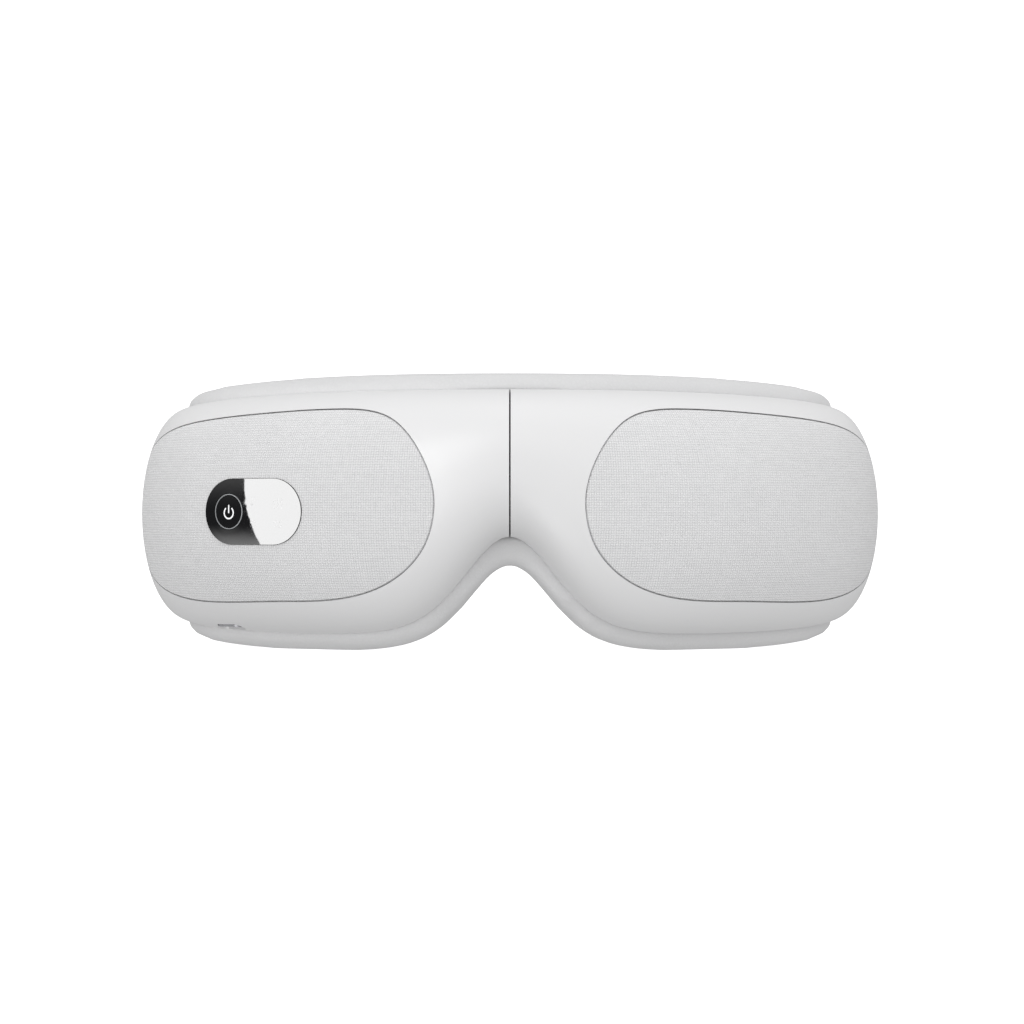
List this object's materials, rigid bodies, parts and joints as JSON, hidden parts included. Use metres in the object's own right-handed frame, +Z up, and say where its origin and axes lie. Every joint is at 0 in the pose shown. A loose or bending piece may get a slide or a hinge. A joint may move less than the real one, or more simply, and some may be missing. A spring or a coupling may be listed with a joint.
{
  "type": "eye massager mask",
  "caption": "Foldable eye massager mask: two curved white pods with fabric panels, glossy control window, soft face pad and elastic head strap.",
  "frame": {"origin": "middle of the base, at the centre of the bounding box in plan", "axes": "+X to the right as seen from the front, -Y the way the front faces, +Z up"},
  "size_m": [0.2, 0.109, 0.072],
  "materials": {
    "shell_white": "satin white ABS",
    "panel_fabric": "light grey plain weave",
    "frame_plastic": "moulded white plastic",
    "screw_steel": "zinc-plated",
    "pad_leather": "soft light grey synthetic leather over foam",
    "liner_fabric": "fine grey knit",
    "film": "amber polyimide",
    "airbag": "translucent air cushion film",
    "motor_steel": "drawn can",
    "weight_brass": "machined",
    "speaker_black": "black cone and basket",
    "anchor_plastic": "grey nylon",
    "bracket_metal": "stamped steel",
    "battery_wrap": "heat-shrink wrap",
    "circuit_board": "solder mask",
    "lens_gloss": "polished black",
    "ring_light": "diffusing clear",
    "switch_black": "black",
    "led_white": "diode package",
    "port_metal": "tin-plated",
    "hose_rubber": "silicone",
    "pin_steel": "ground",
    "strap_webbing": "woven elastic",
    "ribbon": "flat flexible cable"
  },
  "bodies": {
    "left_half": {"air_pump_head": "frame_plastic", "air_pump_motor": "motor_steel", "airbag_hose": "hose_rubber", "bridge_hose": "hose_rubber", "button_switch": "switch_black", "charging_port": "port_metal", "control_board": "circuit_board", "control_lens": "lens_gloss", "head_strap": "strap_webbing", "hinge_pin": "pin_steel", "indicator_leds": "led_white", "left_eye_airbag": "airbag", "left_eye_liner": "liner_fabric", "left_fabric_panel": "panel_fabric", "left_face_pad": "pad_leather", "left_frame_screws": "screw_steel", "left_front_shell": "shell_white", "left_heating_film": "film", "left_hinge_bracket": "bracket_metal", "left_hinge_screws": "screw_steel", "left_inner_frame": "frame_plastic", "left_speaker": "speaker_black", "left_strap_anchor": "anchor_plastic", "left_vibration_motor": "motor_steel", "light_guide": "frame_plastic", "light_ring": "ring_light", "main_board": "circuit_board", "nose_pad": "pad_leather", "pump_hose": "hose_rubber", "release_valve": "motor_steel", "ribbon_cable": "ribbon"},
    "right_half": {"right_eye_airbag": "airbag", "right_eye_liner": "liner_fabric", "right_fabric_panel": "panel_fabric", "right_face_pad": "pad_leather", "right_frame_screws": "screw_steel", "right_front_shell": "shell_white", "right_heating_film": "film", "right_hinge_bracket": "bracket_metal", "right_hinge_screws": "screw_steel", "right_inner_frame": "frame_plastic", "right_speaker": "speaker_black", "right_strap_anchor": "anchor_plastic", "right_vibration_motor": "motor_steel", "battery": "battery_wrap", "battery_board": "circuit_board"},
    "power_button": {"power_button": "lens_gloss"},
    "left_weight": {"left_motor_weight": "weight_brass"},
    "right_weight": {"right_motor_weight": "weight_brass"},
    "crank": {"pump_crank": "weight_brass"},
    "plunger": {"valve_plunger": "weight_brass"},
    "slider": {"strap_slider": "anchor_plastic"}
  },
  "joints": [
    {"name": "fold", "type": "hinge", "parent": "left_half", "child": "right_half", "pos_m": [0, -0.02448, 0.055], "axis": [0, 0, 1], "range_deg": [0, 90], "deforming": ["nose_pad", "head_strap", "bridge_hose", "ribbon_cable"]},
    {"name": "power_button_press", "type": "slide", "parent": "left_half", "child": "power_button", "axis": [0.5029, 0.8643, 0], "range_m": [0, 0.0006], "stiffness_N_per_m": 1500},
    {"name": "left_weight_spin", "type": "hinge", "parent": "left_half", "child": "left_weight", "pos_m": [-0.04304, -0.03561, 0.0545], "axis": [-0.9436, 0.3311, 0], "continuous": true},
    {"name": "right_weight_spin", "type": "hinge", "parent": "right_half", "child": "right_weight", "pos_m": [0.04304, -0.03561, 0.0545], "axis": [0.9436, 0.3311, 0], "continuous": true},
    {"name": "pump_crank_spin", "type": "hinge", "parent": "left_half", "child": "crank", "pos_m": [-0.02999, -0.03957, 0.04], "axis": [0, 0, 1], "continuous": true},
    {"name": "valve_lift", "type": "slide", "parent": "left_half", "child": "plunger", "axis": [0, 0, 1], "range_m": [0, 0.0007], "stiffness_N_per_m": 400},
    {"name": "strap_adjust", "type": "slide", "parent": "left_half", "child": "slider", "axis": [0.9063, 0.4226, 0], "range_m": [0, 0.012]}
  ]
}
